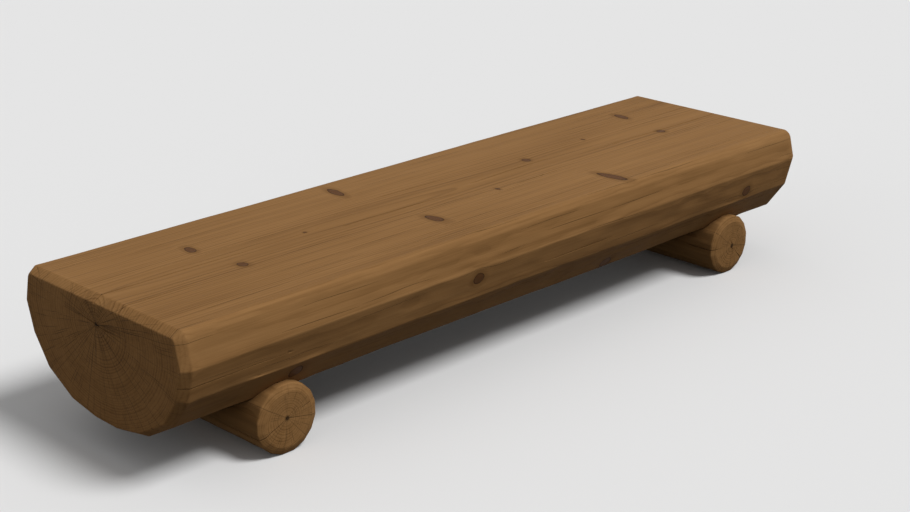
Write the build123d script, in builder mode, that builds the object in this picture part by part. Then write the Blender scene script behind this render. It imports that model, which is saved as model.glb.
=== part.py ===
"""Rustic log bench: a hewn half log resting in the saddles of two cross logs.

Millimetres. X runs along the seat, Y across it and Z up. The origin lies on the ground
under the middle of the bench.
"""

from build123d import *
import os

os.makedirs("parts", exist_ok=True)

# Seat log: half width of each arris, and its depth below the sitting face
seat_length = 1800.0
sitting_face_half_width = 229.0
rim_half_width = 238.0
rim_depth = 12.5
shoulder_half_width = 251.5
shoulder_depth = 66.5
side_half_width = 233.0
side_depth = 134.0
bilge_half_width = 188.0
bilge_depth = 195.0
lower_half_width = 109.0
lower_depth = 239.0
keel_half_width = 32.0
keel_depth = 252.5
seat_bevel_length = 18.5  # along the log
seat_bevel_depth = 11.0  # into the end face

# Cross logs: drawn round by hand to flat facets, so that one facet lies on the ground
cross_log_across_flats = 138.0
cross_log_facets = 16
cross_log_length = 455.0
left_cross_log_inset = 241.0  # seat end to cross log axis
right_cross_log_inset = 217.0
cross_bevel_length = 6.0  # along the log
cross_bevel_depth = 14.0  # into the end face
saddle_web = 56.0  # wood left under the seat's keel

# Lag screws, driven up through the cross logs into the seat
screw_spacing = 150.0  # between the two screws of one cross log
screw_length = 150.0  # under the head
shank_diameter = 12.0
shank_length = 60.0
head_across_flats = 19.0
head_height = 8.0
head_chamfer = 1.2
thread_pitch = 5.0
thread_depth = 1.4
point_length = 12.0
washer_diameter = 24.0
washer_thickness = 2.5

# Fits
saddle_clearance = 0.3
screw_hole_clearance = 0.5
washer_hole_clearance = 0.5
pilot_clearance = 0.1
pilot_extra_depth = 3.0
counterbore_clearance = 3.0
head_recess = 11.0  # ground to the screw head

# Heights and places that follow from the sizes above
sitting_height = keel_depth + saddle_web
cross_log_apothem = cross_log_across_flats / 2
left_cross_log_x = left_cross_log_inset - seat_length / 2
right_cross_log_x = seat_length / 2 - right_cross_log_inset
shank_radius = shank_diameter / 2
screw_hole_radius = shank_radius + screw_hole_clearance
counterbore_radius = washer_diameter / 2 + counterbore_clearance
washer_base = head_recess + head_height
counterbore_depth = washer_base + washer_thickness
pilot_top = washer_base + screw_length + pilot_extra_depth

sides = {"left": left_cross_log_x, "right": right_cross_log_x}
rows = {"front": -screw_spacing / 2, "back": screw_spacing / 2}

# The half log's section, from the front edge of the sitting face round the belly to the back
arrises = [
    (sitting_face_half_width, 0.0),
    (rim_half_width, rim_depth),
    (shoulder_half_width, shoulder_depth),
    (side_half_width, side_depth),
    (bilge_half_width, bilge_depth),
    (lower_half_width, lower_depth),
    (keel_half_width, keel_depth),
]
front_outline = [(-half_width, sitting_height - depth) for half_width, depth in arrises]
back_outline = [(half_width, sitting_height - depth) for half_width, depth in reversed(arrises)]
seat_outline = front_outline + back_outline


def ground_plane(x, y):
    """The ground at one screw, facing down, so that a hole from it goes up into the wood."""
    return Plane(origin=(x, y, 0), x_dir=(1, 0, 0), z_dir=(0, 0, -1))


# Seat log, with a pilot hole for each screw
with BuildPart() as seat_log:
    with BuildSketch(Plane.YZ.offset(-seat_length / 2)):
        with BuildLine():
            Polyline(*seat_outline, close=True)
        make_face()
    extrude(amount=seat_length)
    for end in (0, -1):
        end_face = seat_log.faces().sort_by(Axis.X)[end]
        chamfer(end_face.edges(), seat_bevel_depth, seat_bevel_length, reference=end_face)
    for x in sides.values():
        for y in rows.values():
            with Locations(ground_plane(x, y)):
                Hole(radius=shank_radius + pilot_clearance, depth=pilot_top)
seat_log.part.label = "seat_log"
export_step(seat_log.part, "parts/seat_log.step")

# Cross logs, each with a saddle that takes the seat's belly
for side, x in sides.items():
    with BuildPart() as cross_log:
        with BuildSketch(Plane.XZ.offset(-cross_log_length / 2)):
            with Locations((x, cross_log_apothem)):
                RegularPolygon(
                    radius=cross_log_apothem,
                    side_count=cross_log_facets,
                    major_radius=False,
                    rotation=180 / cross_log_facets,
                )
        extrude(amount=cross_log_length)
        for end in (0, -1):
            end_face = cross_log.faces().sort_by(Axis.Y)[end]
            chamfer(end_face.edges(), cross_bevel_depth, cross_bevel_length, reference=end_face)
        with BuildSketch(Plane.YZ.offset(x)):
            with BuildLine():
                Polyline(*seat_outline, close=True)
            make_face()
            offset(amount=saddle_clearance, kind=Kind.INTERSECTION)
        extrude(amount=cross_log_across_flats, both=True, mode=Mode.SUBTRACT)
        for y in rows.values():
            with Locations(ground_plane(x, y)):
                CounterBoreHole(
                    radius=screw_hole_radius,
                    counter_bore_radius=counterbore_radius,
                    counter_bore_depth=counterbore_depth,
                )
    cross_log.part.label = f"{side}_cross_log"
    export_step(cross_log.part, f"parts/{side}_cross_log.step")

# Shape of a lag screw above its head: smooth shank, rings at the thread's pitch, and a point
thread_root_radius = shank_radius - thread_depth
thread_length = screw_length - shank_length - point_length
ring_count = int(thread_length // thread_pitch)
shaft_profile = [(0, 0), (shank_radius, 0), (shank_radius, shank_length)]
for ring in range(ring_count):
    ring_base = shank_length + ring * thread_pitch
    shaft_profile.append((thread_root_radius, ring_base + thread_pitch / 2))
    shaft_profile.append((shank_radius, ring_base + thread_pitch))
shaft_profile.append((thread_root_radius, screw_length - point_length))
shaft_profile.append((0, screw_length))

head_corner_radius = RegularPolygon(
    radius=head_across_flats / 2, side_count=6, major_radius=False, mode=Mode.PRIVATE
).radius
head_round_radius = head_across_flats / 2
crown_profile = [
    (0, 0),
    (head_round_radius, 0),
    (head_corner_radius + head_chamfer, head_chamfer),
    (head_corner_radius + head_chamfer, head_height),
    (0, head_height),
]

for side, x in sides.items():
    for row, y in rows.items():
        # Hexagon head, its lower corners turned off, with the shaft standing on it
        with BuildPart() as lag_screw:
            with BuildSketch(Plane((x, y, head_recess))):
                RegularPolygon(radius=head_across_flats / 2, side_count=6, major_radius=False)
            extrude(amount=head_height)
            with BuildSketch(Plane(origin=(x, y, head_recess), x_dir=(1, 0, 0), z_dir=(0, -1, 0))):
                with BuildLine():
                    Polyline(*crown_profile, close=True)
                make_face()
            revolve(axis=Axis((x, y, 0), (0, 0, 1)), mode=Mode.INTERSECT)
            with BuildSketch(Plane(origin=(x, y, washer_base), x_dir=(1, 0, 0), z_dir=(0, -1, 0))):
                with BuildLine():
                    Polyline(*shaft_profile, close=True)
                make_face()
            revolve(axis=Axis((x, y, 0), (0, 0, 1)))
        lag_screw.part.label = f"lag_screw_{side}_{row}"
        export_step(lag_screw.part, f"parts/lag_screw_{side}_{row}.step")

        # Flat washer between the screw head and the counterbore's floor
        with BuildPart() as washer:
            with BuildSketch(Plane((x, y, washer_base))):
                Circle(washer_diameter / 2)
                Circle(shank_radius + washer_hole_clearance, mode=Mode.SUBTRACT)
            extrude(amount=washer_thickness)
        washer.part.label = f"washer_{side}_{row}"
        export_step(washer.part, f"parts/washer_{side}_{row}.step")
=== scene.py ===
import math

import bmesh
import bpy
import numpy as np
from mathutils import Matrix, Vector
from mathutils.geometry import delaunay_2d_cdt
from numpy.linalg import norm


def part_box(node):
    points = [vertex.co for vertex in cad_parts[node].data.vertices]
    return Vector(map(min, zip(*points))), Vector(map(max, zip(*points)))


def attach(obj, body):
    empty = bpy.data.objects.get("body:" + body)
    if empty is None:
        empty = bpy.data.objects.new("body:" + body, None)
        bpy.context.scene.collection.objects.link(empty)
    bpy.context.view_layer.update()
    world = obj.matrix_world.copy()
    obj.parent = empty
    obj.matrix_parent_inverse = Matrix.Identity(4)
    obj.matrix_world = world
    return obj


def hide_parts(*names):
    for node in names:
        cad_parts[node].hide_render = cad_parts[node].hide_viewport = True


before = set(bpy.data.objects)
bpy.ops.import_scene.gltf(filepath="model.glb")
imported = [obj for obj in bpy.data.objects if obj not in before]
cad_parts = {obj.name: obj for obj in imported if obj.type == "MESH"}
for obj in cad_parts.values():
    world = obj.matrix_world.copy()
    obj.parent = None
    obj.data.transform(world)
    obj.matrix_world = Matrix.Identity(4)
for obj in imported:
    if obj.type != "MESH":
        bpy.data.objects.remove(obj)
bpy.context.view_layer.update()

scene = bpy.context.scene
mm = 0.001
print("frame loaded:", len(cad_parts), "pieces")


# Short ways to build a node tree; a new node joins the tree of the sockets that feed it

def plug(socket, value):
    if isinstance(value, bpy.types.NodeSocket):
        socket.id_data.links.new(value, socket)
    else:
        socket.default_value = value


def addNode(kind, inputs, tree=None, **settings):
    tree = tree or next(value.id_data for value in inputs.values() if isinstance(value, bpy.types.NodeSocket))
    node = tree.nodes.new(kind)
    for key, value in settings.items():
        setattr(node, key, value)
    for key, value in inputs.items():
        plug(node.inputs[key], value)
    return node


def calc(operation, *values, clamp=False):
    inputs = dict(enumerate(values))
    return addNode("ShaderNodeMath", inputs, operation=operation, use_clamp=clamp).outputs[0]


def product(first, *others):
    for other in others:
        first = calc("MULTIPLY", first, other)
    return first


def linear(value, slope, start):
    return calc("MULTIPLY_ADD", value, slope, start)


def vector(operation, *values):
    node = addNode("ShaderNodeVectorMath", dict(enumerate(values)), operation=operation)
    return node.outputs["Value" if operation in ("LENGTH", "DOT_PRODUCT") else "Vector"]


def scaled(direction, amount):
    inputs = {0: direction, "Scale": amount}
    return addNode("ShaderNodeVectorMath", inputs, operation="SCALE").outputs[0]


def remap(value, low, high, toLow=0.0, toHigh=1.0, kind="SMOOTHSTEP"):
    inputs = {"Value": value, "From Min": low, "From Max": high, "To Min": toLow, "To Max": toHigh}
    return addNode("ShaderNodeMapRange", inputs, interpolation_type=kind).outputs[0]


def cloud(place, stretch, detail=2.0, roughness=0.5, output="Fac"):
    inputs = {"Vector": vector("MULTIPLY", place, stretch), "Scale": 1.0}
    inputs |= {"Detail": detail, "Roughness": roughness}
    return addNode("ShaderNodeTexNoise", inputs).outputs[output]


def chance(seed):
    # a random number for each whole value of the seed
    return addNode("ShaderNodeTexWhiteNoise", {"W": seed}, noise_dimensions="1D").outputs[0]


def blend(share, first, second):
    return addNode("ShaderNodeMix", {0: share, 6: first, 7: second}, data_type="RGBA").outputs[2]


def colour(rgb):
    return (*rgb, 1.0)


def newGroup(name, kind, inputs, outputs):
    tree = bpy.data.node_groups.new(name, kind)
    for way, sockets in (("INPUT", inputs), ("OUTPUT", outputs)):
        for key, value in sockets.items():
            tree.interface.new_socket(key, in_out=way, socket_type="NodeSocket" + value)
    return tree, tree.nodes.new("NodeGroupInput").outputs


def newMaterial(name):
    material = bpy.data.materials.new(name)
    material.use_nodes = True
    tree = material.node_tree
    return material, tree, tree.nodes["Principled BSDF"].inputs


def reliefOf(height):
    # height in millimetres
    return addNode("ShaderNodeBump", {"Strength": 1.0, "Distance": mm, "Height": height}).outputs[0]


def addObject(name, data):
    thing = bpy.data.objects.new(name, data)
    scene.collection.objects.link(thing)
    return thing


# Wood, as a solid: rings about the pith, fibres along it, branches out of it

seatWood = {
    "pith": (0.0, 0.008, 0.2575),
    "turn": 0.0,  # degrees about Z from +X to the log's length
    "oval": 0.86,
    "shift": (0.0, 0.0, 0.0),
    "sawnFace": True,
    "pale": (0.322, 0.172, 0.066),
    "middle": (0.237, 0.121, 0.043),
    "dark": (0.114, 0.052, 0.016),
    "knotHeart": (0.120, 0.050, 0.016),
    "knotEdge": (0.034, 0.014, 0.005),
    # dark of the splits and the pith, and painted shade down in the open checks
    "crack": (0.012, 0.007, 0.004),
    # growth rings: their width, how it changes, where the dark late wood lies in a year,
    # and how far a ring strays from round
    "ringWidth": 0.0062,
    "ringDrift": (26.0, 4.0),
    "lateWood": (0.35, 0.92),
    "lateWoodEnd": (0.93, 1.0),
    "ringChange": (0.75, 0.25),  # from year to year
    "ringOnCuts": (0.40, 0.60),  # fainter off the cut faces
    "swayStart": 0.08,
    "swayDepth": 0.034,
    "rippleDepth": 0.0034,
    # how often each pattern repeats in a metre, along the log and across it
    "sway": (1.1, 5.0, 5.0),
    "ripple": (8.0, 38.0, 38.0),
    "fibre": (7.0, 420.0, 420.0),
    "streak": (1.7, 80.0, 80.0),
    "band": (0.9, 22.0, 22.0),
    "patch": (1.6, 5.0, 5.0),
    "wear": (9.0, 30.0, 30.0),
    "splitWave": (3.2, 9.0, 9.0),
    "sawWave": (0.0, 9.0, 9.0),
    # drying splits along the log, the rays on its ends, and how dark they are
    "splitRows": 84,  # round the log
    "splitLength": 0.19,
    "splitWidth": 0.0007,
    "splitChance": 0.22,
    "uprightSpacing": 0.021,
    "splitSeeds": {"hair": 3.0, "face": 8.0, "ray": 5.0},
    "rayLength": 0.075,
    "rayWidth": 0.0006,
    "rayChance": 0.32,
    "rayStart": 0.04,
    "splitBend": 0.9,
    "pithSpot": (0.003, 0.006),
    "inks": {"hair": 0.72, "ray": 0.75, "pith": 0.8},
    # painted shade in an open check, from its first trace to full
    "checkShadeEdge": (0.05, 0.75),
    "patchEdge": (0.35, 0.65),  # of the patches where saw marks and worn arrises show
    # saw marks on the ends
    "sawAcross": (0.0, 0.34, 0.94),
    "sawSpacing": 0.0052,
    "sawBend": 9.0,
    # what each pattern adds to the tone, 0.5 being the middle colour
    # the seat's end grain comes out darker, partly as end grain is and partly as painted shade on its ends
    "tones": {"plain": 0.61, "ring": -0.42, "fibre": 0.42, "streak": 0.55, "band": 0.36, "patch": 0.40,
              "saw": 0.018, "wear": 0.20, "end": -0.07},
    # and to the surface, in millimetres
    "reliefs": {"ring": 0.22, "fibre": 0.22, "streak": 0.38, "hair": -0.55, "ray": -0.50, "saw": 0.035,
                "rim": -0.35},
    "rough": {"plain": 0.74, "ring": -0.08, "streak": 0.22, "knot": 0.14},
    "specular": 0.05,
    "damp": (0.002, 0.020, 0.45),  # heights between which the foot dries, and how dark it is
    # place along the log, angle from +Y towards +Z, lean along the log, radius
    "knots": [
        (-0.640, 36, 0.12, 0.0115), (-0.615, 131, 0.10, 0.0120),
        (-0.650, 209, 0.08, 0.0150), (-0.215, 21, 0.12, 0.0105),
        (-0.180, 152, 0.10, 0.0130), (-0.205, 190, 0.10, 0.0130),
        (-0.190, -34, 0.08, 0.0150), (0.255, 61, 0.10, 0.0120),
        (0.280, 162, 0.12, 0.0115), (0.245, 217, 0.08, 0.0150),
        (0.680, 27, 0.12, 0.0110), (0.655, 118, 0.10, 0.0125),
        (0.690, 196, 0.10, 0.0130), (0.665, -21, 0.08, 0.0140),
        (-0.410, 84, 0.05, 0.0050), (0.060, 139, 0.05, 0.0055),
        (0.475, 48, 0.05, 0.0050),
    ],
}

leftCrossWood = {
    **seatWood,
    "pith": (-0.663, 0.0, 0.073),
    "turn": 90.0,
    "oval": 1.0,
    "shift": (3.1, 7.7, 1.3),
    "sawnFace": False,
    "pale": (0.316, 0.169, 0.065),
    "middle": (0.232, 0.119, 0.042),
    "dark": (0.112, 0.051, 0.0157),
    "tones": {**seatWood["tones"], "end": 0.02},
    "ringWidth": 0.0046,
    "splitRows": 30,
    "splitLength": 0.12,
    "rayLength": 0.028,
    "rayWidth": 0.0004,
    "knots": [(0.045, 215.0, 0.1, 0.009), (-0.150, 150.0, -0.1, 0.010), (0.170, 20.0, 0.1, 0.008)],
}

rightCrossWood = {
    **leftCrossWood,
    "pith": (0.688, 0.0, 0.066),
    "shift": (9.4, 2.2, 6.8),
    "knots": [(-0.100, 175.0, 0.1, 0.009), (0.090, 240.0, -0.1, 0.008), (0.200, 100.0, 0.1, 0.007)],
}

# A knot is a branch cut across, and its distances are in radii of the branch
knotShape = {
    "far": 50.0,
    "growth": (0.0, 0.25, 0.6, 1.05),  # thinner at the pith
    "bumps": (45.0, 45.0, 45.0),
    "bumpDepth": 0.5,
    "grainReach": 0.55,
    "grainPull": -0.72,
    "rings": 4.5,
    "ringInk": 0.55,
    "edge": (0.90, 1.02),
    "shade": (1.0, 2.4, 0.45),
    "rim": (0.03, 0.14, 0.85),
}


def knotGroup():
    tree, given = newGroup("branch", "ShaderNodeTree",
                           {"Point": "Vector", "Place": "Vector", "Direction": "Vector", "Radius": "Float"},
                           {"Pull": "Vector", "Distance": "Float"})
    fromRoot = vector("SUBTRACT", given["Point"], given["Place"])
    along = calc("MAXIMUM", vector("DOT_PRODUCT", fromRoot, given["Direction"]), 0.0)
    aside = vector("SUBTRACT", fromRoot, scaled(given["Direction"], along))
    radius = product(given["Radius"], remap(along, *knotShape["growth"], kind="LINEAR"))
    bumps = cloud(given["Point"], knotShape["bumps"], 1.0)
    bumps = linear(bumps, knotShape["bumpDepth"], -knotShape["bumpDepth"] / 2)
    distance = calc("ADD", calc("DIVIDE", vector("LENGTH", aside), radius), bumps)
    reach = product(distance, knotShape["grainReach"])
    pull = product(calc("EXPONENT", product(reach, reach, -1.0)), knotShape["grainPull"])
    addNode("NodeGroupOutput", {"Pull": scaled(aside, pull), "Distance": distance})
    return tree


branch = knotGroup()

# Short drying splits that run with the grain: one lens in each cell of a loose lattice
splitInputs = ("Across", "Cell Width", "Along", "Cell Length", "Split Width", "Chance", "Seed")
splitShape = {
    "rowSlide": 7.0,
    "inRow": (0.4, 0.3),
    "size": (0.6, 0.4),
    "edge": (0.45, 1.15),
}


def splitGroup():
    sockets = dict.fromkeys(splitInputs, "Float")
    tree, given = newGroup("splits", "ShaderNodeTree", sockets, {"Split": "Float"})
    row = calc("FLOOR", given["Across"])
    slide = product(chance(calc("ADD", row, given["Seed"])), splitShape["rowSlide"])
    place = calc("ADD", calc("DIVIDE", given["Along"], given["Cell Length"]), slide)
    cell = {0: row, 1: calc("FLOOR", place), 2: given["Seed"]}
    cell = {"Vector": addNode("ShaderNodeCombineXYZ", cell).outputs[0]}
    chances = addNode("ShaderNodeTexWhiteNoise", cell, noise_dimensions="3D").outputs["Color"]
    chances = addNode("ShaderNodeSeparateColor", {0: chances}).outputs
    there = calc("LESS_THAN", chances[0], given["Chance"])
    middle = linear(chances[1], *splitShape["inRow"])
    aside = calc("ABSOLUTE", calc("SUBTRACT", calc("FRACT", given["Across"]), middle))
    fromMiddle = linear(calc("FRACT", place), 2.0, -1.0)
    lens = calc("SUBTRACT", 1.0, product(fromMiddle, fromMiddle))
    half = product(lens, linear(chances[2], *splitShape["size"]), given["Split Width"])
    share = calc("DIVIDE", product(aside, given["Cell Width"]), calc("MAXIMUM", half, 1e-5))
    addNode("NodeGroupOutput", {"Split": product(remap(share, *splitShape["edge"], 1.0, 0.0), there)})
    return tree


splits = splitGroup()


def splitSet(*values):
    return addNode("ShaderNodeGroup", dict(zip(splitInputs, values)), node_tree=splits).outputs["Split"]


def addKnots(log, knots):
    # distance to the nearest knot, and how far the knots push the grain
    nearest, pull = knotShape["far"], (0.0, 0.0, 0.0)
    for place, angle, lean, radius in knots:
        direction = Vector((lean, math.cos(math.radians(angle)), math.sin(math.radians(angle))))
        given = {"Point": log, "Place": (place, 0, 0), "Direction": direction.normalized(), "Radius": radius}
        knot = addNode("ShaderNodeGroup", given, node_tree=branch).outputs
        nearest = calc("MINIMUM", nearest, knot["Distance"])
        pull = vector("ADD", pull, knot["Pull"])
    return nearest, pull


def centred(place, stretch, detail):
    return vector("SUBTRACT", cloud(place, stretch, detail, 0.5, "Color"), (0.5, 0.5, 0.5))


def added(total, value, middle, amount):
    return calc("ADD", total, product(calc("SUBTRACT", value, middle), amount))


def woodMaterial(name, wood):
    material, tree, shader = newMaterial(name)
    sawnAndShaded, endGrain, checkShade, arris = [
        addNode("ShaderNodeAttribute", {}, tree, attribute_name=key).outputs["Fac"]
        for key in ("sawnAndShaded", "endGrain", "checkShade", "arris")]
    place = addNode("ShaderNodeTexCoord", {}, tree).outputs["Object"]
    # log space: X along the pith, Y and Z across it
    laid = {"Vector": place, "Location": wood["pith"], "Rotation": (0, 0, math.radians(wood["turn"]))}
    laid["Scale"] = (1.0, 1.0, wood["oval"])
    log = addNode("ShaderNodeMapping", laid, vector_type="TEXTURE").outputs[0]
    nearest, pull = addKnots(log, wood["knots"])
    straight = vector("ADD", log, pull)
    around = vector("ADD", straight, wood["shift"])

    # growth rings about the pith, less round further out, faintest where a facet only grazes them
    section = (0.0, 1.0, 1.0)
    fromPith = vector("LENGTH", vector("MULTIPLY", straight, section))
    swayReach = remap(fromPith, 0.0, wood["swayStart"], 0.0, wood["swayDepth"])
    swayWidth = addNode("ShaderNodeCombineXYZ", {1: swayReach, 2: swayReach}).outputs[0]
    sway = vector("MULTIPLY", centred(around, wood["sway"], 1.5), swayWidth)
    rippleWidth = (0.0, wood["rippleDepth"], wood["rippleDepth"])
    ripple = vector("MULTIPLY", centred(around, wood["ripple"], 2.0), rippleWidth)
    grown = vector("ADD", vector("ADD", straight, sway), ripple)
    radius = vector("LENGTH", vector("MULTIPLY", grown, section))
    pace, unevenness = wood["ringDrift"]
    years = {"W": product(radius, pace), "Scale": 1.0}
    years = addNode("ShaderNodeTexNoise", years, noise_dimensions="1D").outputs[0]
    growth = linear(radius, 1.0 / wood["ringWidth"], product(years, unevenness))
    season = calc("FRACT", growth)
    lateWood = product(remap(season, *wood["lateWood"]), remap(season, *wood["lateWoodEnd"], 1.0, 0.0))
    ring = product(lateWood, linear(chance(calc("FLOOR", growth)), *wood["ringChange"]))
    # rings in full on sawn faces and end grain, and on the seat's rims, where the darker rings are painted
    # shade
    ring = product(ring, linear(calc("MAXIMUM", sawnAndShaded, endGrain), *wood["ringOnCuts"]))

    # fibres, streaks and broad patches
    fibre = cloud(around, wood["fibre"], 2.0, 0.6)
    streak = cloud(around, wood["streak"], 3.0, 0.6)
    band = cloud(around, wood["band"])
    patch = cloud(around, wood["patch"])

    # drying splits: radial ones all round, upright ones in a face sawn near the pith
    axes = addNode("ShaderNodeSeparateXYZ", {0: straight}).outputs
    wave = product(cloud(around, wood["splitWave"], 1.0), wood["splitBend"])
    angle = calc("ARCTAN2", axes["Z"], axes["Y"])
    rows = wood["splitRows"]
    slices = linear(angle, rows / (2 * math.pi), wave)
    sliceWidth = product(fromPith, 2 * math.pi / rows)
    lengthwise = axes["X"], wood["splitLength"], wood["splitWidth"], wood["splitChance"]
    seeds = wood["splitSeeds"]
    hair = splitSet(slices, sliceWidth, *lengthwise, seeds["hair"])
    if wood["sawnFace"]:
        spacing = wood["uprightSpacing"]
        face = splitSet(linear(axes["Y"], 1 / spacing, wave), spacing, *lengthwise, seeds["face"])
        hair = product(hair, calc("SUBTRACT", 1.0, sawnAndShaded))
        hair = calc("MAXIMUM", hair, product(face, sawnAndShaded))

    # end grain: rays, saw marks and the pith
    ray = splitSet(linear(slices, 2.0, wave), product(sliceWidth, 0.5), fromPith, wood["rayLength"],
                   wood["rayWidth"], wood["rayChance"], seeds["ray"])
    ray = product(ray, product(endGrain, remap(fromPith, 0.0, wood["rayStart"], 0.25, 1.0)))
    sawLine = vector("DOT_PRODUCT", log, wood["sawAcross"])
    sawBend = product(cloud(around, wood["sawWave"]), wood["sawBend"])
    saw = calc("SINE", linear(sawLine, 2 * math.pi / wood["sawSpacing"], sawBend))
    saw = product(saw, product(endGrain, remap(patch, *wood["patchEdge"])))
    pithSpot = product(remap(radius, *wood["pithSpot"], 1.0, 0.0), endGrain)

    # knots: reddish heart with its own rings, a black rim, a shade round it
    knotRing = product(calc("FRACT", product(nearest, knotShape["rings"])), knotShape["ringInk"])
    inside = remap(nearest, *knotShape["edge"], 1.0, 0.0)
    shade = remap(nearest, *knotShape["shade"], 0.0)
    rim = remap(calc("ABSOLUTE", calc("SUBTRACT", nearest, 1.0)), *knotShape["rim"], 0.0)

    tones = wood["tones"]
    tone = calc("ADD", product(ring, tones["ring"]), tones["plain"])
    for key, value in {"fibre": fibre, "streak": streak, "band": band, "patch": patch}.items():
        tone = added(tone, value, 0.5, tones[key])
    # end grain tone; on the seat the darker ends are partly painted shade
    tone = added(tone, remap(endGrain, 0.5, 1.0), 0.0, tones["end"])
    tone = added(tone, saw, 0.0, tones["saw"])
    wear = remap(cloud(around, wood["wear"], 3.0, 0.6), *wood["patchEdge"])
    tone = calc("ADD", tone, product(arris, wear, tones["wear"]), clamp=True)
    ramp = addNode("ShaderNodeValToRGB", {"Fac": tone})
    stops = ramp.color_ramp.elements
    stops[0].position, stops[0].color = 0.0, colour(wood["dark"])
    stops[1].position, stops[1].color = 1.0, colour(wood["pale"])
    stops.new(0.5).color = colour(wood["middle"])

    # over it the knots, then the splits, painted shade down in the open checks, the pith, and last the damp
    # foot
    inks = wood["inks"]
    splitsAndShade = calc("MAXIMUM", product(hair, inks["hair"]), product(ray, inks["ray"]))
    # painted shade at the bottom of the open checks
    splitsAndShade = calc("MAXIMUM", splitsAndShade, remap(checkShade, *wood["checkShadeEdge"]))
    splitsAndShade = calc("MAXIMUM", splitsAndShade, product(pithSpot, inks["pith"]))
    height = addNode("ShaderNodeSeparateXYZ", {"Vector": place}).outputs["Z"]
    foot = product(remap(height, *wood["damp"], 0.0), patch)
    paint = blend(shade, ramp.outputs["Color"], colour(wood["dark"]))
    paint = blend(inside, paint, blend(knotRing, colour(wood["knotHeart"]), colour(wood["knotEdge"])))
    for share, key in ((rim, "knotEdge"), (splitsAndShade, "crack"), (foot, "dark")):
        paint = blend(share, paint, colour(wood[key]))
    plug(shader["Base Color"], paint)

    rough = linear(ring, wood["rough"]["ring"], wood["rough"]["plain"])
    rough = added(rough, streak, 0.5, wood["rough"]["streak"])
    rough = calc("SUBTRACT", rough, product(inside, wood["rough"]["knot"]), clamp=True)
    plug(shader["Roughness"], rough)
    plug(shader["Specular IOR Level"], wood["specular"])

    # hard late wood stands proud of the soft wood between
    reliefs = wood["reliefs"]
    relief = product(ring, reliefs["ring"])
    for key, value in {"fibre": fibre, "streak": streak}.items():
        relief = added(relief, value, 0.5, reliefs[key])
    for key, value in {"hair": hair, "ray": ray, "saw": saw, "rim": rim}.items():
        relief = added(relief, value, 0.0, reliefs[key])
    plug(shader["Normal"], reliefOf(relief))
    return material


# Logs: closed meshes on the section of their CAD solid, a little uneven and never outside it

handWork = {
    "waver": [0.35, 0.5, 1.0],  # from the top corners down
    "waverWave": 0.31,
    "slide": 1.4,
    "slideWave": 0.43,
    "roundingChange": 0.35,
    "roundingWave": 0.13,
    "grainWave": 0.27,
    "seeds": {"waver": 0, "slide": 50, "rounding": 70, "grain": 90},
    "endRoundingShares": [0.0, 0.33, 0.67, 1.0],
    "mostRounding": 0.4,  # of the shorter edge beside a corner
    "mostWander": 0.15,  # of an edge
    "arrisColumn": 1.6 * mm,  # a column this close to each arris keeps it crisp
    "seamRoom": 0.75,  # between a check and the next column, in column spacings
    "wearReach": 0.006,
    "arrisWear": [0.30, 0.45],
    "bevelWear": 0.1,
    "rimWear": 0.6,
    "bevelLean": ([0, 0.08, 0.9, 1], [0.2, 0.5, 0.5, 1.0]),  # shares of its depth and of a quarter turn
    "bevelGrain": (0.5, 1.2 * mm),  # end grain on a bevel, and the inset where it starts
    "plainEnd": 0.02,  # no tool marks next to the bevels
    "smoothBelow": 38,  # degrees between two faces
}

# Drying checks, and the cracks that they run into on a cut end
checkShape = {
    "taper": 0.55,
    "closed": 0.45,  # share of its width where a check has nearly closed
    # painted shade in a check: how fast it darkens as the check opens, and on a cut end the depth at which it
    # is darkest
    "shadeGain": 1.6,
    "shadeDepth": 0.004,
    "crackStep": 0.008,
    "crackPoints": 5,  # at least
    "notchRoom": 3 * mm,  # before a crack's first point
    "crackWander": (0.035, 0.035, 0.025),  # reach, wavelength and bow
    "widthTaper": 0.7,
    "depthTaper": 0.6,
    "deeper": 1.3,  # on the end than at the rim
    "heartPoints": 15,
    "heartWander": (0.0030, 0.4),
    "heartSeed": 40,
}

# Points over a cut end: gap between rows, unevenness and room round the cracks, in spacings
capGrid = {"rowGap": 0.87, "uneven": 0.15, "room": 0.62}


def drift(places, wavelength, seed, count=97, start=40):
    # a smooth random run between -1 and 1
    marks = np.random.default_rng(seed).uniform(-1, 1, count)
    steps = np.asarray(places, float) / wavelength + start
    low = np.floor(steps).astype(int)
    share = steps - low
    share = share * share * (3 - 2 * share)
    return marks[low % count] * (1 - share) + marks[(low + 1) % count] * share


def unit(vectors):
    return vectors / np.maximum(norm(vectors, axis=-1, keepdims=True), 1e-12)


def leftOf(vectors):
    return np.stack([-vectors[..., 1], vectors[..., 0]], axis=-1)


def rounded(before, corner, after, share):
    return (1 - share) ** 2 * before + 2 * share * (1 - share) * corner + share ** 2 * after


def byCorner(values, corner, count):
    # values run from the top corners down both sides, and the last one holds for the rest
    fromTop = min((corner - 1) % count, -corner % count)
    return values[min(fromTop, len(values) - 1)]


def readLog(node, along):
    # the log's section between its bevels, its ends and the size of its bevels
    points = np.array([vertex.co[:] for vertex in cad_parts[node].data.vertices])
    across = [axis for axis in range(3) if axis != along]
    levels = np.unique(points[:, along].round(5))
    face, rim = (points[np.isclose(points[:, along], level, atol=2e-5)][:, across] for level in levels[:2])
    corners = np.unique(rim.round(5), axis=0)
    y, z = (corners - (corners.min(0) + corners.max(0)) / 2).T
    corners = corners[np.argsort(np.arctan2(z, y))]
    # edge 0 is the one on top, and the others follow anticlockwise
    top = np.argmax(corners[:, 1] + np.roll(corners[:, 1], -1))
    return {
        "along": along,
        "across": across,
        "low": levels[0],
        "high": levels[-1],
        "bevelLength": levels[1] - levels[0],
        "bevelDepth": rim[:, 1].max() - face[:, 1].max(),
        "corners": np.roll(corners, -top, axis=0),
    }


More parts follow.
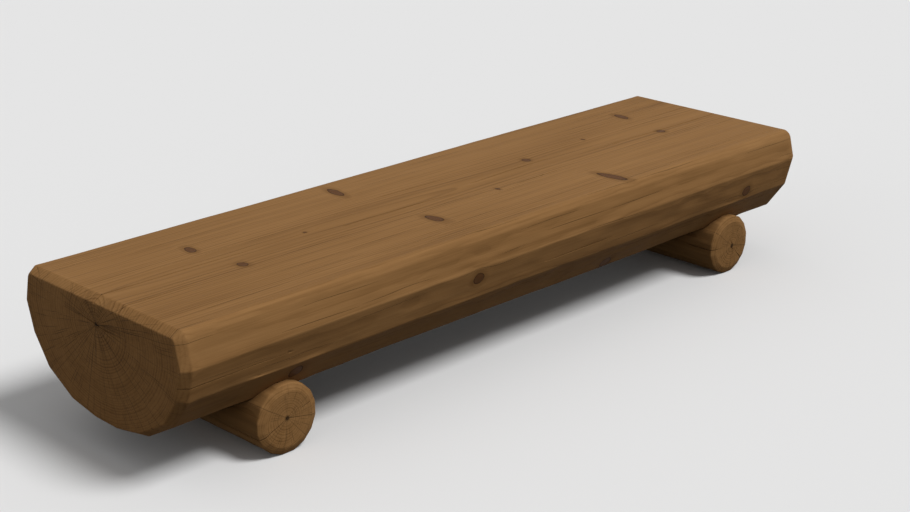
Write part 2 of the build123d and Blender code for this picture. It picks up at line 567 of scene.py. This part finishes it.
def insetCorners(corners, inset):
    # corners (S, N, 2) moved in by inset (S,), each along its mitre
    normal = -leftOf(unit(np.roll(corners, -1, axis=1) - corners))
    before = np.roll(normal, 1, axis=1)
    mitre = (before + normal) / (1 + (before * normal).sum(-1, keepdims=True))
    return corners - mitre * inset[:, None, None]


def stationsAlong(body, spacing, rounding):
    # places along the log, with the section's inset at each: cap, bevel, barrel, bevel, cap
    length, depth = body["bevelLength"], body["bevelDepth"]
    slope = unit(np.array([length, -depth])) * rounding
    share = np.array(handWork["endRoundingShares"])[:, None]
    face, shoulder = np.array([0.0, depth]), np.array([length, 0.0])
    end = np.vstack([
        rounded(face + (0, rounding), face, face + slope, share),
        (face + shoulder) / 2,
        rounded(shoulder - slope, shoulder, shoulder + (rounding, 0), share),
    ])
    low, high = body["low"], body["high"]
    first, last = low + length + rounding, high - length - rounding
    barrel = np.linspace(first, last, round((last - first) / spacing) + 1)[1:-1]
    along = np.concatenate([low + end[:, 0], barrel, high - end[::-1, 0]])
    return along, np.concatenate([end[:, 1], 0 * barrel, end[::-1, 1]])


def columnsAround(corners, log):
    # one entry per column: kind, the edge it lies on or the corner it rounds, share, seam, side
    columns = []
    room = handWork["seamRoom"] * log["columnSpacing"]
    for edge, length in enumerate(norm(np.roll(corners, -1, axis=0) - corners, axis=1)):
        for share in np.linspace(0, 1, byCorner(log["arcSamples"], edge, len(corners))):
            columns.append(("arc", edge, share, -1, 0))
        count = max(2, round(length / log["columnSpacing"]))
        seams = [(seam[1], index) for index, seam in enumerate(log["seams"]) if seam[0] == edge]
        entries = [("edge", edge, share, index, side) for share, index in seams for side in (-1, 0, 1)]
        close = handWork["arrisColumn"] / length
        for share in [close, *(step / count for step in range(1, count)), 1 - close]:
            if all(abs(share - taken) * length > room for taken, _ in seams):
                entries.append(("edge", edge, share, -1, 0))
        columns += sorted(entries, key=lambda entry: (entry[2], entry[4]))
    return columns


def seamOpening(runs, along, body):
    # how far the seam gapes at each station, 0 to 1, and the depth it has there
    opening, depth = 0 * along, 0 * along
    for start, stop, deep in runs:
        share = np.clip((along - start) / (stop - start), 0, 1)
        if start < body["low"] + 1 * mm:
            gape = (1 - share) ** checkShape["taper"]
        elif stop > body["high"] - 1 * mm:
            gape = share ** checkShape["taper"]
        else:
            gape = np.sqrt(4 * share * (1 - share))
        gape = gape * ((along >= start) & (along <= stop))
        opening = np.maximum(opening, gape)
        depth = np.maximum(depth, gape * (deep * mm))
    return opening, depth


def insideOf(rim, points):
    # even-odd test of points (P, 2) against the closed line rim (R, 2)
    a, b = rim, np.roll(rim, -1, axis=0)
    x, y = points[:, :1], points[:, 1:]
    crosses = (a[:, 1] > y) != (b[:, 1] > y)
    slope = (b[:, 0] - a[:, 0]) / np.where(b[:, 1] == a[:, 1], 1e-12, b[:, 1] - a[:, 1])
    return (crosses & (x < a[:, 0] + slope * (y - a[:, 1]))).sum(1) % 2 == 1


def distanceTo(line, points):
    ahead = line[1:] - line[:-1]
    share = ((points[:, None] - line[:-1]) * ahead).sum(-1) / np.maximum((ahead ** 2).sum(-1), 1e-15)
    foot = line[:-1] + np.clip(share, 0, 1)[..., None] * ahead
    return norm(points[:, None] - foot, axis=-1).min(1)


def capMesh(rim, pith, cracks, heartCrack, spacing, seed):
    # a cut end: points (P, 2) past the rim's own with their depths, and triangles over rim and points
    points, depths, lines, keepClear = [], [], [], [np.vstack([rim, rim[:1]])]
    base = len(rim)

    def addLine(line, depth, first=(), last=()):
        ids = [*first, *range(base + len(points), base + len(points) + len(line)), *last]
        points.extend(line)
        depths.extend(depth * np.ones(len(line)))
        lines.extend(zip(ids[:-1], ids[1:]))
        return ids

    wander, wave, bow = checkShape["crackWander"]
    for index, (trio, share, deep) in enumerate(cracks):
        left, notch, right = rim[trio]
        start = (left + right) / 2
        ahead, reach = unit(pith - start), norm(pith - start) * share
        count = max(checkShape["crackPoints"], round(reach / checkShape["crackStep"]))
        steps = np.linspace(0, reach, count)[1:]
        share = steps / reach
        bend = reach * np.sin(np.pi * share) * (wander * drift(steps, wave, seed + index) + bow)
        middle = start + ahead * steps[:, None] + leftOf(ahead) * bend[:, None]
        half = norm(right - left) / 2 * (1 - share) ** checkShape["widthTaper"]
        half = leftOf(ahead) * half[:, None] * np.sign(np.dot(left - start, leftOf(ahead)))
        kept = steps > norm(notch - start) + checkShape["notchRoom"]
        depth = deep * (1 - share[kept]) ** checkShape["depthTaper"]
        trunk = addLine(middle[kept], depth, first=[trio[1]])
        addLine((middle + half)[:-1], 0, first=[trio[0]], last=trunk[-1:])
        addLine((middle - half)[:-1], 0, first=[trio[2]], last=trunk[-1:])
        keepClear.append(np.vstack([start, middle[kept]]))
    if heartCrack:
        angle, length, shift, width, deep = heartCrack
        ahead = np.array([math.cos(math.radians(angle)), math.sin(math.radians(angle))])
        steps = np.linspace(-1, 1, checkShape["heartPoints"])
        wander, wave = checkShape["heartWander"]
        bend = wander * drift(steps, wave, seed + checkShape["heartSeed"])
        middle = pith + ahead * (steps * length / 2 + shift)[:, None] + leftOf(ahead) * bend[:, None]
        half = leftOf(ahead) * (width * mm / 2 * (1 - steps[1:-1] ** 2)[:, None])
        trunk = addLine(middle, deep * mm * (1 - steps ** 2) ** 0.5)
        addLine(middle[1:-1] + half, 0, first=trunk[:1], last=trunk[-1:])
        addLine(middle[1:-1] - half, 0, first=trunk[:1], last=trunk[-1:])
        keepClear.append(middle)

    # loose rows of points over the rest, then triangles through all of them
    low, high = rim.min(0), rim.max(0)
    rows = enumerate(np.arange(low[1], high[1], spacing * capGrid["rowGap"]))
    columns = np.arange(low[0], high[0], spacing)
    grid = np.array([(x + row % 2 * spacing / 2, y) for row, y in rows for x in columns])
    uneven = capGrid["uneven"]
    grid += np.random.default_rng(seed).uniform(-uneven, uneven, grid.shape) * spacing
    grid = grid[insideOf(rim, grid)]
    for line in keepClear:
        grid = grid[distanceTo(line, grid) > capGrid["room"] * spacing]
    places = [Vector(place) for place in [*rim, *points, *grid]]
    depths = [0.0] * base + depths + [0.0] * len(grid)
    places, _, triangles, sources, *_ = delaunay_2d_cdt(places, lines, [list(range(base))], 1, 1e-7)
    extra, numbers = [], []
    for place, ids in zip(places, sources):
        old = min(ids, default=None)
        if old is not None and old < base:
            numbers.append(old)
        else:
            numbers.append(base + len(extra))
            extra.append((*place, 0.0 if old is None else depths[old]))
    return np.array(extra), [[numbers[index] for index in face] for face in triangles]


def unevenness(kind, log, index, along):
    # each kind has a random run of its own at each corner or edge
    seed = log["seed"] * 100 + index + handWork["seeds"][kind]
    return drift(along, handWork[kind + "Wave"], seed)


def unevenSections(body, log, along, inset):
    # the section at each station, its corners wavering, and the way that each edge faces
    corners = body["corners"]
    count = len(corners)
    normals = -leftOf(unit(np.roll(corners, -1, axis=0) - corners))
    outward = unit(normals + np.roll(normals, 1, axis=0))
    sections = np.repeat(corners[None], len(along), axis=0)
    for corner in range(count):
        amount = log["cornerWaver"] * byCorner(handWork["waver"], corner, count)
        deep = amount * (0.5 + 0.5 * unevenness("waver", log, corner, along))
        slide = handWork["slide"] * amount * unevenness("slide", log, corner, along)
        sections[:, corner] -= outward[corner] * deep[:, None]
        sections[:, corner] += leftOf(outward[corner]) * slide[:, None]
    # a slide may carry a corner out of the true section, so the hull is held
    for edge in list(range(count)) * 3:
        proud = ((sections - corners[edge]) * normals[edge]).sum(-1)
        sections -= np.maximum(proud, 0)[..., None] * normals[edge]
    return insetCorners(sections, inset), normals


def layColumns(columns, body, log, along, inset):
    # each column's place at each station, the way it faces, the checks in it with painted shade at their
    # bottom, and how far an arris is
    sections, normals = unevenSections(body, log, along, inset)
    count = len(normals)
    ahead = np.roll(sections, -1, axis=1) - sections
    lengths = norm(ahead, axis=-1)
    ahead = ahead / lengths[..., None]
    rounding = 0 * lengths
    for corner in range(count):
        uneven = 1 + handWork["roundingChange"] * unevenness("rounding", log, corner, along)
        rounding[:, corner] = byCorner(log["cornerRounding"], corner, count) * uneven
    shorter = np.minimum(lengths, np.roll(lengths, 1, axis=1))
    rounding = np.minimum(rounding, handWork["mostRounding"] * shorter)[..., None]

    flat, facing = np.zeros((2, len(along), len(columns), 2))
    checkShade, sink, fromCorner = np.zeros((3, len(along), len(columns)))
    for k, (kind, index, share, seam, side) in enumerate(columns):
        corner, onward, following = sections[:, index], ahead[:, index], (index + 1) % count
        start = corner + onward * rounding[:, index]
        if kind == "arc":
            before = corner - ahead[:, index - 1] * rounding[:, index]
            flat[:, k] = rounded(before, corner, start, share)
            facing[:, k] = normals[index - 1] * (1 - share) + normals[index] * share
            continue
        stop = sections[:, following] - onward * rounding[:, following]
        span = norm(stop - start, axis=-1)
        wander = 4 * share * (1 - share) * np.minimum(log["grainWander"], handWork["mostWander"] * span)
        wander = wander * unevenness("grain", log, index, along)
        moved = share + wander / span
        if seam >= 0:
            *_, width, _, runs = log["seams"][seam]
            opening, depth = seamOpening(runs, along, body)
            half = width * mm / 2 * (checkShape["closed"] + (1 - checkShape["closed"]) * opening)
            moved = moved + side * half / span
            if side == 0:
                sink[:, k] = depth
                # painted shade at the bottom of the check, the darker the wider it opens
                checkShade[:, k] = np.clip(opening * checkShape["shadeGain"], 0, 1)
        flat[:, k] = start + (stop - start) * moved[:, None]
        facing[:, k] = normals[index]
        fromCorner[:, k] = np.minimum(moved, 1 - moved) * span
    return flat, unit(facing), checkShade, sink, fromCorner


def inSpace(body, section, along):
    # places on the section and along the log as points on three axes
    points = np.zeros((*section.shape[:-1], 3))
    points[..., body["across"]] = section
    points[..., body["along"]] = along
    return points


def buildLog(name, body, log):
    # a closed mesh of the whole log, with what the surface is at each point, and the painted shade in its
    # checks and on the seat's rims, as attributes
    count = len(body["corners"])
    columns = columnsAround(body["corners"], log)
    along, inset = stationsAlong(body, log["stationSpacing"], log["endRounding"])
    flat, facing, checkShade, sink, fromCorner = layColumns(columns, body, log, along, inset)
    rows, cols = checkShade.shape
    nearLow, nearHigh = along - body["low"], body["high"] - along
    fromBevel = np.minimum(nearLow, nearHigh) - body["bevelLength"]

    # over the bevel the surface turns to face along the log
    lean = np.clip(inset / (body["bevelDepth"] + log["endRounding"]), 0, 1)
    lean = np.interp(lean, *handWork["bevelLean"])
    lean = (np.where(inset > 0, lean, 0) * math.pi / 2)[:, None]
    direction = np.where(nearLow < nearHigh, -1.0, 1.0)[:, None]
    out = inSpace(body, facing * np.cos(lean)[..., None], direction * np.sin(lean))
    points = inSpace(body, flat, along[:, None]) - out * sink[..., None]

    edgeOf = np.array([column[1] for column in columns])
    wear = np.array([byCorner(handWork["arrisWear"], corner, count) for corner in range(count)])
    wear = np.where(fromCorner > 0, np.maximum(wear, np.roll(wear, -1))[edgeOf], wear[edgeOf])
    arris = np.exp(-(fromCorner / handWork["wearReach"]) ** 2) * wear
    nearRim = handWork["rimWear"] * np.exp(-(fromBevel / handWork["wearReach"]) ** 2)
    arris = np.maximum(arris, np.where(inset > 0, handWork["bevelWear"], nearRim)[:, None])
    worked = log["edgeWork"](edgeOf, along) * np.clip(fromBevel / handWork["plainEnd"], 0, 1)[:, None]
    # a column is sawn where the edge it lies on is, and on an arris between two such edges; the seat's hewn
    # rims are listed with the sawn edges, and there the fuller rings are painted shade
    sawnAndShadedEdges = log["sawnAndShadedEdges"]
    sawnAndShaded = [float(edge in sawnAndShadedEdges and (kind == "edge" or (edge - 1) % count in sawnAndShadedEdges))
            for kind, edge, *_ in columns]
    shown, past = handWork["bevelGrain"]
    endGrain = np.where(inset >= body["bevelDepth"], 1.0, shown * (inset > past))
    values = {
        "outward": out.reshape(-1, 3),
        "checkShade": checkShade.ravel(),
        "arris": arris.ravel(),
        "worked": worked.ravel(),
        "endGrain": np.repeat(endGrain, cols),
        "sawnAndShaded": np.tile(sawnAndShaded, rows),
    }
    verts = points.reshape(-1, 3)
    grid = np.arange(rows * cols).reshape(rows, cols)
    a, b = grid[:-1], grid[1:]
    faces = np.stack([a, np.roll(a, -1, axis=1), np.roll(b, -1, axis=1), b], axis=-1).reshape(-1, 4).tolist()

    # the two cut ends
    pith = np.array(log["wood"]["pith"])[body["across"]]
    for row, side, end in ((0, -1.0, "low"), (rows - 1, 1.0, "high")):
        cracks = []
        for index, (*_, reach, _) in enumerate(log["seams"]):
            if end in reach:
                trio = [k for k, column in enumerate(columns) if column[3] == index]
                cracks.append((trio, reach[end], checkShape["deeper"] * sink[row, trio[1]]))
        extra, capFaces = capMesh(points[row][:, body["across"]], pith, cracks, log["heartCracks"].get(end),
                                  log["capSpacing"], log["seed"] + row)
        numbers = [*grid[row].tolist(), *range(len(verts), len(verts) + len(extra))]
        faces += [[numbers[index] for index in face] for face in capFaces]
        plane, depth = extra[:, :2], extra[:, 2]
        verts = np.vstack([verts, inSpace(body, plane, body[end] - side * depth)])
        # the cracks on a cut end get painted shade, darker the deeper they run
        onCap = {
            "outward": inSpace(body, 0 * plane, side),
            "checkShade": np.clip(depth / checkShape["shadeDepth"], 0, 1),
            "endGrain": 1 + 0 * depth,
        }
        for key, value in values.items():
            values[key] = np.concatenate([value, onCap.get(key, 0 * depth)])

    mesh = bpy.data.meshes.new(name)
    mesh.from_pydata(verts.tolist(), [], faces)
    for key, value in values.items():
        kind, field = ("FLOAT_VECTOR", "vector") if key == "outward" else ("FLOAT", "value")
        layer = mesh.attributes.new(key, kind, "POINT")
        layer.data.foreach_set(field, value.astype(np.float32).ravel())
    piece = addObject(name, mesh)
    tidyNormals(piece)
    return piece


def tidyNormals(piece):
    work = bmesh.new()
    work.from_mesh(piece.data)
    bmesh.ops.recalc_face_normals(work, faces=work.faces)
    triangles = sum(len(face.verts) - 2 for face in work.faces)
    openEdges = sum(not edge.is_manifold for edge in work.edges)
    print(piece.name, triangles, "triangles,", openEdges, "open edges")
    work.to_mesh(piece.data)
    work.free()


# Tool marks: hollows of the drawknife and adze over a log's outside

toolMarks = {
    "Mark Length": 0.085,
    "Mark Width": 0.034,
    "Mark Depth": 0.0021,
    "Wave Length": 0.32,
    "Wave Depth": 0.0016,
    "Seed": 7,
}
hollowShape = {
    "seedStep": (3.7, 9.1, 5.3),
    "smoothness": 0.35,
    "randomness": 0.9,
    "edge": (0.05, 0.75),
    "change": (0.6, 0.4),
    "waves": (0.3, 0.7),
}


def toolMarkTree():
    sockets = {"Log": "Geometry", **dict.fromkeys(toolMarks, "Float"), "Seed": "Int",
               "Length Direction": "Vector", "Wood": "Material"}
    tree, given = newGroup("toolMarks", "GeometryNodeTree", sockets, {"Hewn Log": "Geometry"})
    for item in tree.interface.items_tree:
        if item.name in toolMarks:
            item.default_value = toolMarks[item.name]
    place = addNode("GeometryNodeInputPosition", {}, tree).outputs[0]
    seeded = scaled(hollowShape["seedStep"], given["Seed"])
    # distances along the log count less than distances across it
    lengthwise = given["Length Direction"]
    shrink = calc("SUBTRACT", calc("DIVIDE", given["Mark Width"], given["Mark Length"]), 1.0)
    shrink = product(vector("DOT_PRODUCT", place, lengthwise), shrink)
    squeezed = vector("ADD", place, scaled(lengthwise, shrink))
    cells = {"Vector": vector("ADD", squeezed, seeded), "Scale": calc("DIVIDE", 1.0, given["Mark Width"])}
    cells |= {"Smoothness": hollowShape["smoothness"], "Randomness": hollowShape["randomness"]}
    cells = addNode("ShaderNodeTexVoronoi", cells, feature="SMOOTH_F1").outputs
    hollow = remap(cells["Distance"], *hollowShape["edge"], 1.0, 0.0)
    perCell = addNode("ShaderNodeSeparateXYZ", {0: cells["Color"]}).outputs[0]
    hollow = product(hollow, linear(perCell, *hollowShape["change"]), given["Mark Depth"])
    wave = {"Vector": vector("ADD", place, seeded), "Scale": calc("DIVIDE", 1.0, given["Wave Length"])}
    wave = addNode("ShaderNodeTexNoise", {**wave, "Detail": 2.0}).outputs[0]
    wave = remap(wave, *hollowShape["waves"])
    depth = calc("ADD", hollow, product(wave, given["Wave Depth"]))
    worked, outward = [
        addNode("GeometryNodeInputNamedAttribute", {"Name": name}, tree, data_type=kind).outputs[0]
        for name, kind in (("worked", "FLOAT"), ("outward", "FLOAT_VECTOR"))]
    moved = {"Geometry": given["Log"], "Offset": scaled(outward, product(depth, worked, -1.0))}
    moved = addNode("GeometryNodeSetPosition", moved).outputs[0]
    real = addNode("GeometryNodeRealizeInstances", {"Geometry": moved}).outputs[0]
    coated = addNode("GeometryNodeSetMaterial", {"Geometry": real, "Material": given["Wood"]}).outputs[0]
    addNode("NodeGroupOutput", {"Hewn Log": coated})
    return tree


marksTree = toolMarkTree()


def applied(piece):
    # the evaluated piece as a plain mesh in a new object
    name = piece.name
    view = bpy.context.evaluated_depsgraph_get()
    mesh = bpy.data.meshes.new_from_object(piece.evaluated_get(view), depsgraph=view)
    mesh.name = name
    bpy.data.objects.remove(piece)
    return addObject(name, mesh)


def workSurface(piece, settings, lengthwise, material):
    modifier = piece.modifiers.new("toolMarks", "NODES")
    modifier.node_group = marksTree
    settings = {**toolMarks, **settings, "Length Direction": lengthwise, "Wood": material}
    for item in marksTree.interface.items_tree:
        if item.name in settings:
            modifier[item.identifier] = settings[item.name]
    return applied(piece)


def middleOf(node, axis):
    low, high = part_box(node)
    return (low[axis] + high[axis]) / 2


# Seat log

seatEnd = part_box("seat_log")[1].x
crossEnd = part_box("left_cross_log")[1].y
crossPlaces = [middleOf(node, 0) for node in ("left_cross_log", "right_cross_log")]
seatBedding = {"planed": 0.16, "edges": (4, 10), "halfWidth": 0.070, "fade": 0.030}


def seatWork(edges, along):
    # the sitting face is planed nearly true, and the belly is left whole where it beds in the saddles
    share = np.tile(np.where(edges == 0, seatBedding["planed"], 1.0), (len(along), 1))
    first, last = seatBedding["edges"]
    for place in crossPlaces:
        fromBed = np.abs(along - place) - seatBedding["halfWidth"]
        share[:, (edges >= first) & (edges <= last)] *= np.clip(fromBed / seatBedding["fade"], 0, 1)[:, None]
    return share


seatLog = {
    "stationSpacing": 7 * mm,
    "columnSpacing": 6.2 * mm,
    "capSpacing": 9 * mm,
    "endRounding": 2.5 * mm,
    "cornerWaver": 1.5 * mm,
    "cornerRounding": [5 * mm, 4 * mm, 1.8 * mm],
    "arcSamples": [5, 4, 3],
    "grainWander": 5 * mm,
    # the rims are hewn, but count as sawn so that fuller rings darken them: painted shade against the light
    # they catch
    "sawnAndShadedEdges": [13, 0, 1],  # the sitting face and its rims
    "wood": seatWood,
    "seed": 11,
    # drying checks: edge of the section, share across it, width in millimetres, how far each end
    # is cracked towards the pith, and the runs along the log with their depths in millimetres
    "seams": [
        (0, 0.475, 3.2, {"low": 0.55}, [(-seatEnd, -0.36, 9), (0.05, 0.31, 6)]),
        (0, 0.530, 2.8, {"high": 0.55}, [(-0.33, -0.02, 7), (0.46, seatEnd, 9)]),
        (0, 0.640, 2.2, {"low": 0.30}, [(-seatEnd, -0.73, 7), (0.12, 0.27, 4)]),
        (0, 0.330, 2.2, {"high": 0.28}, [(-0.16, 0.02, 5), (0.74, seatEnd, 7)]),
        (3, 0.560, 2.6, {"low": 0.62}, [(-seatEnd, -0.66, 8), (0.02, 0.23, 5)]),
        (5, 0.500, 2.6, {"low": 0.4, "high": 0.5}, [(-seatEnd, -0.79, 8), (0.78, seatEnd, 8)]),
        (7, 0.450, 2.6, {"high": 0.35}, [(-0.42, -0.14, 6), (0.80, seatEnd, 8)]),
        (9, 0.420, 2.6, {"low": 0.72}, [(-seatEnd, -0.74, 8), (0.25, 0.52, 6)]),
        (11, 0.550, 2.6, {"high": 0.66}, [(-0.28, 0.08, 7), (0.70, seatEnd, 8)]),
    ],
    # cracks across the pith: angle in degrees, length, shift, and width and depth in millimetres
    "heartCracks": {"low": (4, 0.12, 0.0, 2.6, 9), "high": (-5, 0.11, 0.0, 2.4, 8)},
    "edgeWork": seatWork,
}

seat = buildLog("seat_half_log", readLog("seat_log", 0), seatLog)
seat = workSurface(seat, {}, (1.0, 0.0, 0.0), woodMaterial("seatWood", seatWood))
print("seat log hewn")


# Cross logs

groundFacet = 8


def crossWork(edges, along):
    # the facet on the ground stays flat
    return np.tile(np.where(edges == groundFacet, 0.0, 1.0), (len(along), 1))


crossLog = {
    **seatLog,
    "stationSpacing": 6 * mm,
    "columnSpacing": 5.2 * mm,
    "capSpacing": 6 * mm,
    "endRounding": 2.2 * mm,
    "cornerWaver": 0.6 * mm,
    "cornerRounding": [2.5 * mm],
    "arcSamples": [3],
    "grainWander": 2.5 * mm,
    "sawnAndShadedEdges": [],
    "edgeWork": crossWork,
}

crossLogs = {
    "left_cross_log": {
        **crossLog,
        "wood": leftCrossWood,
        "seed": 23,
        "seams": [
            (5, 0.5, 2.0, {"low": 0.80}, [(-crossEnd, -0.06, 7)]),
            (13, 0.5, 1.8, {"low": 0.35, "high": 0.8}, [(-crossEnd, -0.205, 5), (0.10, crossEnd, 6)]),
        ],
        "heartCracks": {"low": (35, 0.050, 0.004, 1.8, 6)},
    },
    "right_cross_log": {
        **crossLog,
        "wood": rightCrossWood,
        "seed": 31,
        "seams": [
            (10, 0.5, 2.0, {"low": 0.75}, [(-crossEnd, -0.09, 7)]),
            (4, 0.5, 1.8, {"low": 0.45, "high": 0.8}, [(-crossEnd, -0.15, 5), (0.06, crossEnd, 6)]),
        ],
        "heartCracks": {"low": (110, 0.044, -0.003, 1.8, 6)},
    },
}

crossMarks = {"Mark Length": 0.060, "Mark Width": 0.022, "Mark Depth": 0.0006,
              "Wave Length": 0.16, "Wave Depth": 0.0005}

# Cuts in the cross logs: the seat's saddle, and two stepped holes for the screws
saddleCut = {"clearance": 0.3 * mm, "length": 0.20}
screwHole = {"headRadius": 15 * mm, "headDepth": 21.5 * mm, "shankRadius": 6.5 * mm, "sides": 48}


def solidFrom(work, name):
    bmesh.ops.recalc_face_normals(work, faces=work.faces)
    mesh = bpy.data.meshes.new(name)
    work.to_mesh(mesh)
    work.free()
    return addObject(name, mesh)


def saddleCutter(place):
    corners = readLog("seat_log", 0)["corners"][None]
    outline = insetCorners(corners, np.array([-saddleCut["clearance"]]))[0]
    count, half = len(outline), saddleCut["length"] / 2
    work = bmesh.new()
    verts = [work.verts.new((x, y, z)) for x in (place - half, place + half) for y, z in outline]
    work.faces.new(verts[:count])
    work.faces.new(verts[:count - 1:-1])
    for i in range(count):
        j = (i + 1) % count
        work.faces.new([verts[i], verts[count + i], verts[count + j], verts[j]])
    return solidFrom(work, "saddle")


def screwCutter(x, y):
    head, shank, depth = screwHole["headRadius"], screwHole["shankRadius"], screwHole["headDepth"]
    below, above = -5 * mm, 0.2
    levels = [(0.0, below), (head, below), (head, depth), (shank, depth), (shank, above), (0.0, above)]
    work = bmesh.new()
    verts = [work.verts.new((x + radius, y, z)) for radius, z in levels]
    edges = [work.edges.new(pair) for pair in zip(verts[:-1], verts[1:])]
    bmesh.ops.spin(work, geom=verts + edges, cent=(x, y, 0), axis=(0, 0, 1), angle=2 * math.pi,
                   steps=screwHole["sides"])
    bmesh.ops.remove_doubles(work, verts=work.verts, dist=1e-6)
    return solidFrom(work, "screwHole")


def cut(piece, cutters):
    for tool in cutters:
        modifier = piece.modifiers.new("cut", "BOOLEAN")
        modifier.object = tool
        modifier.operation = "DIFFERENCE"
        modifier.solver = "EXACT"
    plain = applied(piece)
    for tool in cutters:
        bpy.data.objects.remove(tool)
    return plain


screwRows = [middleOf("lag_screw_left_" + row, 1) for row in ("front", "back")]
dressed = {"seat_log": seat}
for (node, log), place in zip(crossLogs.items(), crossPlaces):
    piece = buildLog("hewn_" + node, readLog(node, 1), log)
    marks = {**crossMarks, "Seed": log["seed"]}
    piece = workSurface(piece, marks, (0.0, 1.0, 0.0), woodMaterial(node + "Wood", log["wood"]))
    piece = cut(piece, [saddleCutter(place)] + [screwCutter(place, y) for y in screwRows])
    tidyNormals(piece)
    dressed[node] = piece
print("cross logs cut")

# Galvanised screws and washers
zinc = {
    "bright": (0.55, 0.56, 0.57),
    "dull": (0.40, 0.41, 0.42),
    "dullShare": 0.6,
    "grime": (0.20, 0.17, 0.14),
    "grimeRange": (0.52, 0.72, 0.0, 0.6),
    "crystal": 0.004,
    "grain": (160.0, 160.0, 160.0),
    "roughnessRange": (0.3, 1.4, 0.34, 0.58),
    "relief": 0.12,
}


def zincMaterial():
    material, tree, shader = newMaterial("galvanisedSteel")
    place = addNode("ShaderNodeTexCoord", {}, tree).outputs["Object"]
    crystals = addNode("ShaderNodeTexVoronoi", {"Vector": place, "Scale": 1 / zinc["crystal"]})
    tone = addNode("ShaderNodeSeparateColor", {"Color": crystals.outputs["Color"]}).outputs[0]
    grime = cloud(place, zinc["grain"], 4.0, 0.6)
    paint = blend(product(tone, zinc["dullShare"]), colour(zinc["bright"]), colour(zinc["dull"]))
    paint = blend(remap(grime, *zinc["grimeRange"]), paint, colour(zinc["grime"]))
    plug(shader["Base Color"], paint)
    plug(shader["Roughness"], remap(calc("ADD", tone, grime), *zinc["roughnessRange"]))
    plug(shader["Metallic"], 1.0)
    plug(shader["Normal"], reliefOf(product(grime, zinc["relief"])))
    return material


zincFinish = zincMaterial()
for name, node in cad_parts.items():
    if name.startswith(("lag_screw", "washer")):
        for slot in node.material_slots:
            slot.material = zincFinish
print("screws and washers finished")

# Level camera off the bench's left front corner
cameraSetup = {
    "place": (-2.435, -2.428, 1.4055),
    "turn": 45.04,  # degrees from +Y towards +X
    "dip": 19.94,  # degrees below the horizon
    "lens": 67.3714286,
}

# Studio: a large soft lamp from the front right and above, a weak low one from the left, and an even dome
studio = {
    # where each lamp stands, its strength, and how wide it looks in degrees
    "lamps": {
        "softLamp": ((0.252, -0.511, 0.822), 2.37, 22.0),
        "fillLamp": ((-0.960, 0.100, 0.150), 0.32, 50.0),
    },
    "domeLight": 0.34,
    "domeShown": 0.86,
    "floorSize": 40.0,
    "floorShown": 0.80,
    "floorBounce": 0.05,
}


def aim(thing, direction):
    thing.rotation_euler = Vector(direction).to_track_quat("-Z", "Y").to_euler()


def litAndShown(tree, lit, shown):
    # one value for light that bounces, another for what is seen, straight or in a reflection
    path = addNode("ShaderNodeLightPath", {}, tree).outputs
    seen = calc("MAXIMUM", path["Is Glossy Ray"], path["Is Transmission Ray"])
    return remap(calc("MAXIMUM", path["Is Camera Ray"], seen), 0.0, 1.0, lit, shown, "LINEAR")


def addStudio():
    turn, dip = math.radians(cameraSetup["turn"]), math.radians(cameraSetup["dip"])
    camera = addObject("camera", bpy.data.cameras.new("camera"))
    camera.data.lens = cameraSetup["lens"]
    camera.location = cameraSetup["place"]
    aim(camera, (math.sin(turn) * math.cos(dip), math.cos(turn) * math.cos(dip), -math.sin(dip)))
    scene.camera = camera
    scene.view_settings.view_transform = "Standard"

    for name, (place, strength, spread) in studio["lamps"].items():
        lamp = addObject(name, bpy.data.lights.new(name, "SUN"))
        lamp.data.energy = strength
        lamp.data.angle = math.radians(spread)
        aim(lamp, -Vector(place))

    dome = bpy.data.worlds.new("dome")
    dome.use_nodes = True
    scene.world = dome
    background = dome.node_tree.nodes["Background"].inputs
    plug(background["Color"], (1, 1, 1, 1))
    plug(background["Strength"], litAndShown(dome.node_tree, studio["domeLight"], studio["domeShown"]))

    work = bmesh.new()
    bmesh.ops.create_grid(work, x_segments=1, y_segments=1, size=studio["floorSize"] / 2)
    floor = solidFrom(work, "studio_floor")
    paint, tree, shader = newMaterial("paleFloor")
    shown = litAndShown(tree, studio["floorBounce"], studio["floorShown"])
    grey = addNode("ShaderNodeCombineColor", {0: shown, 1: shown, 2: shown}).outputs[0]
    plug(shader["Base Color"], grey)
    plug(shader["Roughness"], 1.0)
    plug(shader["Specular IOR Level"], 0.0)
    floor.data.materials.append(paint)


addStudio()
print("studio set")

for node, piece in dressed.items():
    piece.data.shade_smooth()
    piece.data.set_sharp_from_angle(angle=math.radians(handWork["smoothBelow"]))
    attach(piece, "root")
    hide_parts(node)
